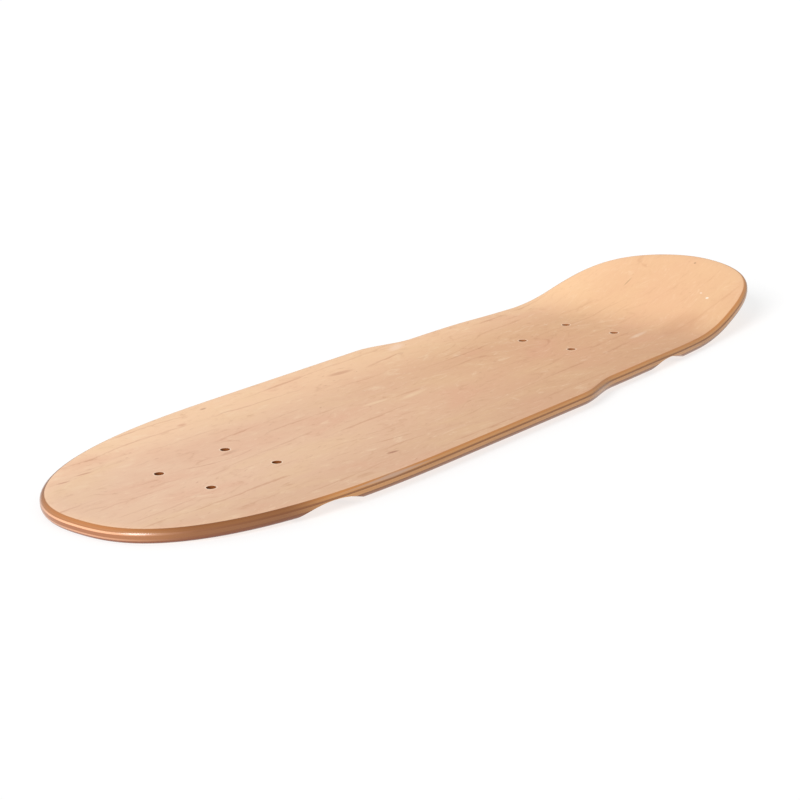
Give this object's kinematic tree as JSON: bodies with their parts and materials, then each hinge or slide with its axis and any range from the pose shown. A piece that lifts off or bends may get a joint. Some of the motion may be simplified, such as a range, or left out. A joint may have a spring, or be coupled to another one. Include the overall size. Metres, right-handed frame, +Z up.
{
  "type": "skateboard deck",
  "caption": "Bare skateboard deck of pressed maple veneers with a flat rounded nose, stepped sides, light concave, an upswept kicktail, truck bolt holes and wheel wells under the sides.",
  "frame": {"origin": "on the underside, on the centre line, midway between the two truck bolt patterns", "axes": "+X from the nose to the kicktail, +Y across the deck, +Z up through the standing face"},
  "size_m": [0.6348, 0.192, 0.036],
  "materials": {
    "face_maple": "satin lacquer",
    "long_grain_maple": "satin lacquer",
    "cross_grain_maple": "satin lacquer"
  },
  "bodies": {
    "root": {"top_face_veneer": "face_maple", "upper_long_veneer": "long_grain_maple", "upper_cross_veneer": "cross_grain_maple", "upper_core_veneer": "long_grain_maple", "lower_core_veneer": "long_grain_maple", "lower_cross_veneer": "cross_grain_maple", "lower_long_veneer": "long_grain_maple", "bottom_face_veneer": "face_maple"}
  },
  "joints": []
}
